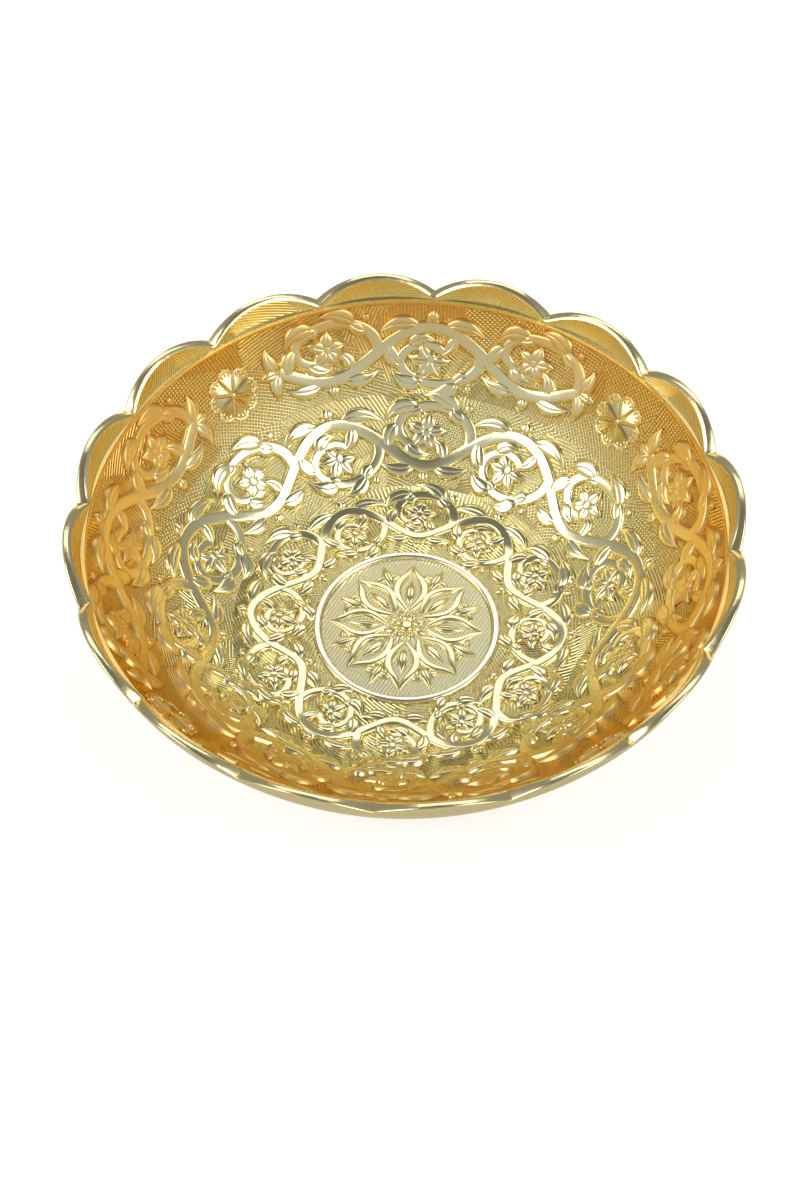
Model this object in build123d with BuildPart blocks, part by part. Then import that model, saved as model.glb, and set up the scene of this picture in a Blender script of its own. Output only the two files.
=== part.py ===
from build123d import *
import math
import os

os.makedirs("parts", exist_ok=True)

# Offering bowl: a deep round dish with a flared lip of sixteen lobes, standing on a low ring foot.
# Millimetres. The foot stands on Z = 0, the bowl's axis is Z, and a notch of the lip lies on +Y.

# Dish
overall_diameter = 140.0  # across two opposite lobe tips
bowl_depth = 35.0  # from the floor up to the notches of the lip
wall = 1.6  # thickness of the dish
floor_radius = 28.7  # level part of the floor
corner_radius = 18.4  # bend from the floor into the wall
corner_slope = 30.0  # slope of the wall where that bend ends, degrees from level

# Flared lip
lobe_count = 16
lobe_rise = 4.0  # lobe tip above the notches
lip_slope = 72.0  # degrees from level
lip_width = 1.75  # level width of the lip's edge, and of the seam under it
scoop_radius = 38.0  # each lobe is hollowed inside by a cone of this radius at its foot
ledge_drop = 0.5  # ledge at the foot of those hollows, below the notches
ledge_set = 0.5  # how far the ledge stands in from the seam

# Bead wire over the seam between dish and lip
bead_diameter = 1.4
bead_drop = 1.7  # centre of the wire below the notches
bead_proud = 0.7  # how far the wire stands out of the wall

# Medallion let into the floor
medallion_diameter = 41.0  # outside of its ring
ring_width = 1.8
ring_proud = 0.8  # ring above the floor
ring_round = 0.6
inlay_depth = 0.7  # recess in the floor

# Rosettes on the wall
rosette_diameter = 13.0
rosette_drop = 11.3  # down the wall from the seam to a rosette's centre
rosette_thickness = 1.1
rosette_sink = 0.35  # depth of the pocket at a rosette's centre
petal_count = 8
petal_width = 3.8
petal_border = 0.55  # raised edge round each hollow petal
petal_depth = 0.4
boss_diameter = 2.2
boss_height = 0.4
boss_round = 0.3

# Raised vine on the wall, in three bands: a wavy stem with a curled shoot and a blossom in each bend
vine_height = 0.7  # above the wall
vine_root = 0.5  # below the face of the wall
stem_width = 3.2
shoot_width = 2.6
blossom_diameter = 7.4
lower_margin = 1.1  # from the medallion to the lower band
band_gap = 1.0  # from the lower band to the middle one
lower_band = 16.3  # heights of the bands, measured up the wall
middle_band = 19.9
upper_band = 18.7  # this one is centred on the rosettes, which break it into four
lower_bends = 12
middle_bends = 14
upper_bends = 16
lower_scale = 0.82  # the lower vine has thinner lines
stem_swing = 0.29  # swing of the stem to each side, as a share of the band's height
shoot_rise = 0.1  # centre of each curl off the band's middle, the same way
shoot_turn = 330.0  # degrees that a shoot curls through
shoot_tip = 0.3  # share of its first radius that is left at its tip
shoot_steps = 14  # points of its line
stem_steps = 8  # points of the stem's line in each bend

# Ring foot under the floor
foot_height = 3.6
foot_diameter = 53.0  # at the floor
foot_width = 2.6
foot_flare = 1.2  # how far the toe spreads beyond that diameter
toe_height = 1.0
toe_round = 0.4
foot_tongue = 0.5  # let into the underside of the floor

# Fits
seat_gap = 0.05  # solder gap round each piece that is let in
bead_gap = 0.25  # the same round the bead wire

# Levels and radii that follow from the sizes above
floor_level = foot_height + wall
notch_level = floor_level + bowl_depth
tip_level = notch_level + lobe_rise
seam_level = notch_level - bead_drop
lip_run = 1 / math.tan(math.radians(lip_slope))  # outward travel of the lip for each millimetre of rise
tip_radius = overall_diameter / 2
seam_outer = tip_radius - (tip_level - seam_level) * lip_run
seam_inner = seam_outer - lip_width
bead_radius = bead_diameter / 2
bead_centre = seam_inner + bead_radius - bead_proud
medallion_radius = medallion_diameter / 2
ring_inner = medallion_radius - ring_width
rosette_radius = rosette_diameter / 2
foot_outer = foot_diameter / 2
foot_inner = foot_outer - foot_width


def lip_radius(level):
    """Radius of the lip's outer face at a level."""
    return seam_outer + (level - seam_level) * lip_run


def spoke_plane(angle, radius):
    """Upright plane that faces outwards along a spoke, with its second axis along Z."""
    turn = math.radians(angle)
    outward = (math.cos(turn), math.sin(turn), 0)
    sideways = (-math.sin(turn), math.cos(turn), 0)
    return Plane((radius * outward[0], radius * outward[1], 0), x_dir=sideways, z_dir=outward)


# Section of the dish, from the axis to the seam
corner_centre = (floor_radius, floor_level + corner_radius)
with BuildLine() as dish_inside:
    Line((0, floor_level), (floor_radius, floor_level))
    inner_corner = CenterArc(corner_centre, corner_radius, -90, corner_slope)
    inner_wall = TangentArc(inner_corner @ 1, (seam_inner, seam_level), tangent=inner_corner % 1)
with BuildSketch(Plane.XZ) as dish_section:
    with BuildLine():
        add(dish_inside.line)
        Line((seam_inner, seam_level), (seam_outer, seam_level))
        outer_corner = CenterArc(corner_centre, corner_radius + wall, -90, corner_slope)
        TangentArc(outer_corner @ 1, (seam_outer, seam_level), tangent=outer_corner % 1)
        Line((0, foot_height), (floor_radius, foot_height))
        Line((0, foot_height), (0, floor_level))
    make_face()

# Seats of the rosettes, square to the wall and sunk into it
seat_length = inner_wall.length - rosette_drop
seat_point = inner_wall.position_at(seat_length, position_mode=PositionMode.LENGTH)
seat_along = inner_wall.tangent_at(seat_length, position_mode=PositionMode.LENGTH)
seat_radius = seat_point.X + rosette_sink * seat_along.Y
seat_height = seat_point.Y - rosette_sink * seat_along.X


def rosette_seat(angle):
    """Floor of the pocket for a rosette, facing into the bowl."""
    turn = math.radians(angle)
    centre = (seat_radius * math.cos(turn), seat_radius * math.sin(turn), seat_height)
    sideways = (-math.sin(turn), math.cos(turn), 0)
    into_bowl = (-seat_along.Y * math.cos(turn), -seat_along.Y * math.sin(turn), seat_along.X)
    return Plane(centre, x_dir=sideways, z_dir=into_bowl)


rosette_seats = {
    "rosette_back_right": rosette_seat(45),
    "rosette_back_left": rosette_seat(135),
    "rosette_front_left": rosette_seat(225),
    "rosette_front_right": rosette_seat(315),
}

# Vine: its plan is drawn band by band, then cut out of a thin layer that lies on the wall
inside_wire = dish_inside.wires()[0]


def inside_point(run):
    """Radius and slope of the dish's inside at a way along its section from the axis."""
    point = inside_wire.position_at(run, position_mode=PositionMode.LENGTH)
    along = inside_wire.tangent_at(run, position_mode=PositionMode.LENGTH)
    return point.X, math.atan2(along.Y, along.X)


def vine_point(middle, along, up):
    """Plan point of a place in a band, half way up the relief."""
    turn = math.pi / 2 - along / inside_point(middle)[0]
    radius, slope = inside_point(middle + up)
    radius -= vine_height / 2 * math.sin(slope)
    return radius * math.cos(turn), radius * math.sin(turn)


def line_sides(middle, line, width):
    """Plan points of the two sides of a line of constant width."""
    left, right = [], []
    for i, (along, up) in enumerate(line):
        before, after = line[max(i - 1, 0)], line[min(i + 1, len(line) - 1)]
        way = (Vector(*after) - Vector(*before)).normalized() * width / 2
        left.append(vine_point(middle, along - way.Y, up + way.X))
        right.append(vine_point(middle, along + way.Y, up - way.X))
    return left, right


def line_face(middle, line, width):
    """Plan of an open line."""
    left, right = line_sides(middle, line, width)
    with BuildSketch() as face:
        with BuildLine():
            Spline(*left)
            Spline(*right)
            Line(left[0], right[0])
            Line(left[-1], right[-1])
        make_face()
    return face.sketch


def ring_face(middle, line, width):
    """Plan of a line that closes on itself, whose first and last points lie beyond the closure."""
    inner, outer = sorted(line_sides(middle, line, width), key=lambda side: math.hypot(*side[1]))
    with BuildSketch() as face:
        with BuildLine():
            Spline(*outer[1:-1], periodic=True)
        make_face()
        with BuildLine():
            Spline(*inner[1:-1], periodic=True)
        make_face(mode=Mode.SUBTRACT)
    return face.sketch


def stem_line(pitch, high, first, last):
    """Middle line of a stem that swings down at the first bend and up at the next."""
    count = round((last - first) * stem_steps)
    bends = [first + i / stem_steps for i in range(count + 1)]
    start = math.ceil(first)
    return [(bend * pitch, -stem_swing * high * math.cos(math.pi * (bend - start))) for bend in bends]


def shoot_line(pitch, high):
    """Middle line of a shoot that leaves the stem beside a bend and curls in over it."""
    rise = shoot_rise * high
    wide = pitch / 2
    tall = high / 2 - rise
    start = -math.asin(rise / tall)
    points = []
    for i in range(shoot_steps + 1):
        share = i / shoot_steps
        turn = start + math.radians(shoot_turn) * share
        fade = 1 - (1 - shoot_tip) * share
        points.append((wide * fade * math.cos(turn), rise + tall * fade * math.sin(turn)))
    return points


def vine_bend(middle, pitch, high, scale, number, side):
    """Plan of the shoot and blossom in one bend, above the stem or below it."""
    line = [(number * pitch + along, side * up) for along, up in shoot_line(pitch, high)]
    place = vine_point(middle, number * pitch, side * shoot_rise * high)
    slope = inside_point(middle + side * shoot_rise * high)[1]
    turn = math.degrees(math.atan2(place[1], place[0]))
    blossom_radius = blossom_diameter * scale / 2
    with BuildSketch() as bend:
        add(line_face(middle, line, shoot_width * scale))
        with Locations(Location((*place, 0), (0, 0, turn))):
            Ellipse(blossom_radius * math.cos(slope), blossom_radius)
    return bend.sketch


def whole_band(middle, high, bends, scale):
    """Plan of a band that runs all the way round."""
    pitch = 2 * math.pi * inside_point(middle)[0] / bends
    with BuildSketch() as band:
        with PolarLocations(0, bends // 2):
            add(vine_bend(middle, pitch, high, scale, 0, 1))
            add(vine_bend(middle, pitch, high, scale, 1, -1))
        add(ring_face(middle, stem_line(pitch, high, -1 / stem_steps, bends), stem_width * scale))
    return band.sketch


def broken_band(middle, high, bends, scale, breaks):
    """Plan of a band that leaves out one bend at each rosette."""
    pitch = 2 * math.pi * inside_point(middle)[0] / bends
    reach = (bends // breaks - 2) / 2
    stem = stem_line(pitch, high, -reach - 0.5, reach + 0.5)
    with BuildSketch() as band:
        with PolarLocations(0, breaks):
            add(line_face(middle, stem, stem_width * scale))
            for i in range(bends // breaks - 1):
                add(vine_bend(middle, pitch, high, scale, i - reach, 1 - 2 * (i % 2)))
    return band.sketch


# Way along the section from the axis to the middle of each band
lower_run = medallion_radius + lower_margin + lower_band / 2
middle_run = lower_run + lower_band / 2 + band_gap + middle_band / 2
upper_run = inside_wire.length - rosette_drop
wall_centre = inner_wall.arc_center
wall_rays = [inner_wall @ end - wall_centre for end in (0, 1)]
wall_start, wall_end = (math.degrees(math.atan2(ray.Y, ray.X)) for ray in wall_rays)
with BuildPart() as vine:
    with BuildSketch(Plane.XZ):
        with BuildLine():
            layer_ends = []
            for depth in (vine_root, -vine_height):
                level = floor_level - depth
                Line((medallion_radius, level), (floor_radius, level))
                CenterArc(corner_centre, corner_radius + depth, -90, corner_slope)
                layer = CenterArc(wall_centre, inner_wall.radius + depth, wall_start, wall_end - wall_start)
                layer_ends.append(layer @ 1)
            Line(*layer_ends)
            Line((medallion_radius, floor_level - vine_root), (medallion_radius, floor_level + vine_height))
        make_face()
    revolve(axis=Axis.Z)
    with BuildSketch():
        add(whole_band(lower_run, lower_band, lower_bends, lower_scale))
        add(whole_band(middle_run, middle_band, middle_bends, 1))
        add(broken_band(upper_run, upper_band, upper_bends, 1, len(rosette_seats)))
    extrude(amount=notch_level, mode=Mode.INTERSECT)

# Dish with its vine, recess for the medallion, groove for the foot and pockets for the rosettes
with BuildPart() as bowl_body:
    add(dish_section.sketch)
    revolve(axis=Axis.Z)
    with BuildSketch(Plane.XY.offset(floor_level - inlay_depth)):
        Circle(medallion_radius + seat_gap)
    extrude(amount=inlay_depth, mode=Mode.SUBTRACT)
    with BuildSketch(Plane.XY.offset(foot_height)):
        Circle(foot_outer + seat_gap)
        Circle(foot_inner - seat_gap, mode=Mode.SUBTRACT)
    extrude(amount=foot_tongue, mode=Mode.SUBTRACT)
    with BuildSketch(*rosette_seats.values()):
        Circle(rosette_radius + seat_gap)
    extrude(amount=rosette_diameter, mode=Mode.SUBTRACT)
    with BuildSketch(Plane.XZ):
        with Locations((bead_centre, seam_level)):
            Circle(bead_radius + bead_gap)
    revolve(axis=Axis.Z, mode=Mode.SUBTRACT)
    add(vine.part)
bowl_body.part.label = "bowl_body"
export_step(bowl_body.part, "parts/bowl_body.step")

# Flared lip: a ring cut into lobes from above, each lobe hollowed inside down to a narrow ledge
lobe_pitch = 360 / lobe_count
half_chord = tip_radius * math.sin(math.radians(lobe_pitch / 2))
ledge_level = notch_level - ledge_drop
ledge_radius = seam_inner - ledge_set
crown_level = tip_level + lobe_rise / 2
tool_side = half_chord + lobe_rise / 2  # neighbouring notch tools overlap above the tips
tool_start = seam_inner - lobe_rise
tool_reach = tip_radius + 2 * lobe_rise - tool_start
scoop_centre = lip_radius(ledge_level) - lip_width - scoop_radius
notch_planes = [spoke_plane(i * lobe_pitch, tool_start) for i in range(lobe_count)]

with BuildPart() as scalloped_rim:
    with BuildSketch(Plane.XZ):
        with BuildLine():
            Polyline(
                (seam_outer, seam_level),
                (lip_radius(crown_level), crown_level),
                (lip_radius(crown_level) - lip_width, crown_level),
                (lip_radius(notch_level) - lip_width, notch_level),
                (ledge_radius, ledge_level),
                (ledge_radius, seam_level),
                close=True,
            )
        make_face()
    revolve(axis=Axis.Z)
    with BuildSketch(*notch_planes):
        with BuildLine():
            TangentArc((half_chord, tip_level), (0, notch_level), tangent=(-1, 0))
            TangentArc((-half_chord, tip_level), (0, notch_level), tangent=(1, 0))
            Polyline(
                (half_chord, tip_level),
                (tool_side, tip_level),
                (tool_side, crown_level + lobe_rise),
                (-tool_side, crown_level + lobe_rise),
                (-tool_side, tip_level),
                (-half_chord, tip_level),
            )
        make_face()
    extrude(amount=tool_reach, mode=Mode.SUBTRACT)
    with BuildSketch(Plane.XY.offset(ledge_level)):
        with PolarLocations(scoop_centre, lobe_count, start_angle=lobe_pitch / 2):
            Circle(scoop_radius)
    extrude(amount=crown_level - ledge_level, taper=lip_slope - 90, mode=Mode.SUBTRACT)
    with BuildSketch(Plane.XZ):
        with Locations((bead_centre, seam_level)):
            Circle(bead_radius + bead_gap)
    revolve(axis=Axis.Z, mode=Mode.SUBTRACT)
scalloped_rim.part.label = "scalloped_rim"
export_step(scalloped_rim.part, "parts/scalloped_rim.step")

# Bead wire
with BuildPart() as rim_bead:
    with BuildSketch(Plane.XZ):
        with Locations((bead_centre, seam_level)):
            Circle(bead_radius)
    revolve(axis=Axis.Z)
rim_bead.part.label = "rim_bead"
export_step(rim_bead.part, "parts/rim_bead.step")

# Medallion disc, flush with the floor
with BuildPart() as medallion_disc:
    with BuildSketch(Plane.XY.offset(floor_level - inlay_depth)):
        Circle(ring_inner - seat_gap)
    extrude(amount=inlay_depth)
medallion_disc.part.label = "medallion_disc"
export_step(medallion_disc.part, "parts/medallion_disc.step")

# Ring that holds the disc, with a rounded crown
with BuildPart() as medallion_ring:
    with BuildSketch(Plane.XY.offset(floor_level - inlay_depth)):
        Circle(medallion_radius)
        Circle(ring_inner, mode=Mode.SUBTRACT)
    extrude(amount=inlay_depth + ring_proud)
    fillet(medallion_ring.faces().sort_by(Axis.Z)[-1].edges(), radius=ring_round)
medallion_ring.part.label = "medallion_ring"
export_step(medallion_ring.part, "parts/medallion_ring.step")

# Rosettes: round petals, each hollowed inside a raised edge, about a small boss
petal_round = petal_width / 2
petal_centre = rosette_radius - petal_round
hollow_round = petal_round - petal_border
hollow_start = boss_diameter / 2 + petal_border
with BuildSketch() as petal_hollow:
    with BuildLine():
        Line((hollow_start, 0), (petal_centre, hollow_round))
        ThreePointArc(
            (petal_centre, hollow_round),
            (petal_centre + hollow_round, 0),
            (petal_centre, -hollow_round),
        )
        Line((petal_centre, -hollow_round), (hollow_start, 0))
    make_face()
for rosette_name, seat in rosette_seats.items():
    face = seat.offset(rosette_thickness)
    with BuildPart() as rosette:
        with BuildSketch(seat):
            Circle(petal_centre)
            with PolarLocations(petal_centre, petal_count):
                Circle(petal_round)
        extrude(amount=rosette_thickness)
        with BuildSketch(face):
            with PolarLocations(0, petal_count):
                add(petal_hollow.sketch)
        extrude(amount=-petal_depth, mode=Mode.SUBTRACT)
        with BuildSketch(face):
            Circle(boss_diameter / 2)
        extrude(amount=boss_height)
        fillet(rosette.faces().sort_by(Axis(face.origin, face.z_dir))[-1].edges(), radius=boss_round)
    rosette.part.label = rosette_name
    export_step(rosette.part, f"parts/{rosette_name}.step")

# Ring foot with a hollow outer side and a rounded toe
toe_outer = foot_outer + foot_flare
with BuildPart() as foot_ring:
    with BuildSketch(Plane.XZ):
        with BuildLine():
            Polyline(
                (foot_outer, foot_height),
                (foot_outer, foot_height + foot_tongue),
                (foot_inner, foot_height + foot_tongue),
                (foot_inner, 0),
                (toe_outer, 0),
                (toe_outer, toe_height),
            )
            TangentArc((foot_outer, foot_height), (toe_outer, toe_height), tangent=(0, -1))
        make_face()
    revolve(axis=Axis.Z)
    fillet(foot_ring.faces().sort_by(Axis.Z)[0].edges(), radius=toe_round)
foot_ring.part.label = "foot_ring"
export_step(foot_ring.part, "parts/foot_ring.step")
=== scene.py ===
import math
import bpy
import numpy as np
from mathutils import Matrix, Vector


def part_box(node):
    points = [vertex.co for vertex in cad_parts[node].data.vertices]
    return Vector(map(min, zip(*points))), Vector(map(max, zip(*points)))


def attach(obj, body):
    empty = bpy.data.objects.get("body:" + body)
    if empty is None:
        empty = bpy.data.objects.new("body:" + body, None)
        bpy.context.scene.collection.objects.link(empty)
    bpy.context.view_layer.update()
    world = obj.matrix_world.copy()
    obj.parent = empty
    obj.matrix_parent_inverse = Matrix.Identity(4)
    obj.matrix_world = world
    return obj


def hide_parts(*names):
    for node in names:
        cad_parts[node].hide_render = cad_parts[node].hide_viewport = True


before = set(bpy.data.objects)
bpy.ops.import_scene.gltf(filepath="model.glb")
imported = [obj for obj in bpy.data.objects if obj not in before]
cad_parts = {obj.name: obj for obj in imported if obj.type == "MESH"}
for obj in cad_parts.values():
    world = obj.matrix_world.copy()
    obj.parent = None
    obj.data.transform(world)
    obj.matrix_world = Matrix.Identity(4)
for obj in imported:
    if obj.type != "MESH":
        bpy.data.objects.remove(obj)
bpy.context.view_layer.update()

mm = 0.001  # sizes below are in millimetres, the scene is in metres
bodyLow, bodyHigh = (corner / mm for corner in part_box("bowl_body"))
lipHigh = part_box("scalloped_rim")[1] / mm
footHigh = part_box("foot_ring")[1] / mm


# Dish section: level floor, rounded corner, then one long arc up to the seam under the lip
dishSize = dict(
    wall=1.6, floorRadius=28.7, cornerRadius=18.4, cornerSlope=30, lipWidth=1.75,
    recessRadius=20.55, recessDepth=0.7, turns=360, wallSteps=44, cornerSteps=8, floorSteps=5,
    # hatching: space above a band, and the radius that stands for each band, upper band first
    bandSpace=0.5, flowReach=(60.0, 47.0, 30.0),
)
footLevel = bodyLow.z
floorLevel = footLevel + dishSize["wall"]
seamLevel = bodyHigh.z
seamOuter = bodyHigh.x
seamInner = seamOuter - dishSize["lipWidth"]


def wallArc(offset):
    # arc that leaves the corner at its slope and ends at the seam
    slope = math.radians(dishSize["cornerSlope"])
    bend = dishSize["cornerRadius"] + offset
    startR = dishSize["floorRadius"] + bend * math.sin(slope)
    startZ = floorLevel + dishSize["cornerRadius"] - bend * math.cos(slope)
    endR = seamInner if offset == 0 else seamOuter
    runR, runZ = endR - startR, seamLevel - startZ
    radius = (runR ** 2 + runZ ** 2) / (2 * (runZ * math.cos(slope) - runR * math.sin(slope)))
    centreR = startR - radius * math.sin(slope)
    centreZ = startZ + radius * math.cos(slope)
    endSlope = math.atan2(endR - centreR, centreZ - seamLevel)
    return radius, centreR, centreZ, endSlope


cornerTurn = math.radians(dishSize["cornerSlope"])
wallRadius, wallCentreR, wallCentreZ, wallEndSlope = wallArc(0)
cornerStart = dishSize["floorRadius"]
cornerEnd = cornerStart + dishSize["cornerRadius"] * cornerTurn
# way along the section from the axis to the seam
seamRun = cornerEnd + wallRadius * (wallEndSlope - cornerTurn)


def onDish(run):
    # radius, height and slope of the inside at a way along the section
    run = np.asarray(run, float)
    bend = np.clip((run - cornerStart) / dishSize["cornerRadius"], 0, cornerTurn)
    turn = cornerTurn + np.maximum(run - cornerEnd, 0) / wallRadius
    onWall = run > cornerEnd
    radius = np.where(onWall, wallCentreR + wallRadius * np.sin(turn),
                      np.minimum(run, cornerStart) + dishSize["cornerRadius"] * np.sin(bend))
    height = np.where(onWall, wallCentreZ - wallRadius * np.cos(turn),
                      floorLevel + dishSize["cornerRadius"] * (1 - np.cos(bend)))
    return radius, height, np.where(onWall, turn, bend)


# Small tools that every piece uses
def deselectAll():
    if bpy.context.object and bpy.context.object.mode != "OBJECT":
        bpy.ops.object.mode_set(mode="OBJECT")
    bpy.ops.object.select_all(action="DESELECT")


def pick(*pieces):
    deselectAll()
    for piece in pieces:
        piece.select_set(True)
    bpy.context.view_layer.objects.active = pieces[0]


def discard(*pieces):
    pick(*pieces)
    bpy.ops.object.delete()


def readPoints(piece):
    points = np.empty(len(piece.data.vertices) * 3)
    piece.data.vertices.foreach_get("co", points)
    return points.reshape(-1, 3) / mm


def writePoints(piece, points):
    piece.data.vertices.foreach_set("co", (np.asarray(points) * mm).ravel())
    piece.data.update()


def mergeDoubles(piece):
    pick(piece)
    bpy.ops.object.mode_set(mode="EDIT")
    bpy.ops.mesh.select_all(action="SELECT")
    bpy.ops.mesh.remove_doubles(threshold=0.002 * mm)
    bpy.ops.mesh.normals_make_consistent(inside=False)
    bpy.ops.object.mode_set(mode="OBJECT")


def spinSection(name, section, turns):
    # one vertex drawn out along the section, then spun round the axis
    deselectAll()
    bpy.ops.mesh.primitive_plane_add(size=mm)
    piece = bpy.context.object
    piece.name = piece.data.name = name
    bpy.ops.object.mode_set(mode="EDIT")
    bpy.ops.mesh.merge(type="CENTER")
    bpy.ops.transform.translate(value=(section[0][0] * mm, 0, section[0][1] * mm))
    for (r0, z0), (r1, z1) in zip(section, section[1:]):
        move = ((r1 - r0) * mm, 0, (z1 - z0) * mm)
        bpy.ops.mesh.extrude_vertices_move(TRANSFORM_OT_translate={"value": move})
    bpy.ops.mesh.select_all(action="SELECT")
    bpy.ops.mesh.spin(steps=turns, angle=2 * math.pi, center=(0, 0, 0), axis=(0, 0, 1))
    mergeDoubles(piece)
    return piece


def joinPieces(name, pieces):
    pick(*pieces)
    bpy.ops.object.join()
    piece = bpy.context.object
    piece.name = piece.data.name = name
    return piece


def smooth(piece, angle):
    pick(piece)
    bpy.ops.object.shade_smooth_by_angle(angle=math.radians(angle))


def settle(piece, slotName, *nodes):
    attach(piece, "root")
    if nodes:
        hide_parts(*nodes)
    print("piece", piece.name, len(piece.data.polygons), "faces")


def arcPoints(centre, radius, start, end, steps):
    turns = [math.radians(start + (end - start) * i / steps) for i in range(steps + 1)]
    return [(centre[0] + radius * math.cos(t), centre[1] + radius * math.sin(t)) for t in turns]


# Node tools
def newMaterial(name):
    material = bpy.data.materials.new(name)
    material.use_nodes = True
    tree = material.node_tree
    return material, tree, tree.nodes["Principled BSDF"]


def newGroup(name, inputs, outputs):
    tree = bpy.data.node_groups.new(name, "ShaderNodeTree")
    for label, kind, value in inputs:
        socket = tree.interface.new_socket(label, in_out="INPUT", socket_type="NodeSocket" + kind)
        socket.default_value = value
    for label, kind in outputs:
        tree.interface.new_socket(label, in_out="OUTPUT", socket_type="NodeSocket" + kind)
    return tree, tree.nodes.new("NodeGroupInput"), tree.nodes.new("NodeGroupOutput")


def addMath(tree, operation, first, second=None, third=None):
    node = tree.nodes.new("ShaderNodeMath")
    node.operation = operation
    for socket, value in zip(node.inputs, (first, second, third)):
        if isinstance(value, (int, float)):
            socket.default_value = value
        elif value is not None:
            tree.links.new(value, socket)
    return node.outputs[0]


def addRange(tree, value, fromLow, fromHigh, toLow, toHigh):
    node = tree.nodes.new("ShaderNodeMapRange")
    node.interpolation_type = "SMOOTHSTEP"
    for socket, entry in zip(node.inputs, (value, fromLow, fromHigh, toLow, toHigh)):
        if isinstance(entry, (int, float)):
            socket.default_value = entry
        else:
            tree.links.new(entry, socket)
    return node.outputs[0]


def addMix(tree, factor, first, second, blend="MIX"):
    node = tree.nodes.new("ShaderNodeMix")
    node.data_type = "RGBA"
    node.blend_type = blend
    for socket, value in ((node.inputs[0], factor), (node.inputs[6], first), (node.inputs[7], second)):
        if isinstance(value, (int, float, tuple)):
            socket.default_value = value
        else:
            tree.links.new(value, socket)
    return node.outputs[2]


def addNoise(tree, vector, scale, detail=3.0):
    node = tree.nodes.new("ShaderNodeTexNoise")
    node.inputs["Scale"].default_value = scale
    node.inputs["Detail"].default_value = detail
    tree.links.new(vector, node.inputs["Vector"])
    return node.outputs["Fac"]


# Gilding tone, softly mottled; paler low in the bowl and warmer towards the lip and the front, a painted
# reflection of the gold walls in each other
toneLook = dict(cloud=90.0, speck=900.0, cloudShare=0.65, speckShare=0.35)


def makeGildToneAndReflection():
    tree, entry, result = newGroup(
        "gildToneAndReflection",
        [("Pale", "Color", (0.9, 0.8, 0.4, 1)), ("Warm", "Color", (0.9, 0.6, 0.2, 1)),
         ("Low", "Float", 0.006), ("High", "Float", 0.04),
         ("Lean", "Float", 0.0), ("Mottle", "Float", 0.1)],
        [("Color", "Color"), ("Mottle", "Float"), ("Rise", "Float")],
    )
    place = tree.nodes.new("ShaderNodeTexCoord").outputs["Object"]
    split = tree.nodes.new("ShaderNodeSeparateXYZ")
    tree.links.new(place, split.inputs[0])
    level = addMath(tree, "SUBTRACT", split.outputs["Z"],
                    addMath(tree, "MULTIPLY", split.outputs["Y"], entry.outputs["Lean"]))
    rise = addRange(tree, level, entry.outputs["Low"], entry.outputs["High"], 0.0, 1.0)
    cloud = addMath(tree, "MULTIPLY", addNoise(tree, place, toneLook["cloud"]), toneLook["cloudShare"])
    speck = addNoise(tree, place, toneLook["speck"], 2.0)
    mottle = addMath(tree, "MULTIPLY_ADD", speck, toneLook["speckShare"], cloud)
    offset = addMath(tree, "SUBTRACT", mottle, 0.5)
    shift = addMath(tree, "MULTIPLY_ADD", offset, entry.outputs["Mottle"], rise)
    # painted reflection: the colour turns warm with height, and towards the front through Lean
    blend = addMix(tree, shift, entry.outputs["Pale"], entry.outputs["Warm"])
    tree.links.new(blend, result.inputs["Color"])
    tree.links.new(mottle, result.inputs["Mottle"])
    tree.links.new(rise, result.inputs["Rise"])
    return tree


# Hatched ground: patches of fine ruled lines, each patch at its own angle, some crossed
hatchLook = dict(raggedScale=0.25, raggedPush=5.0)


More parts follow.
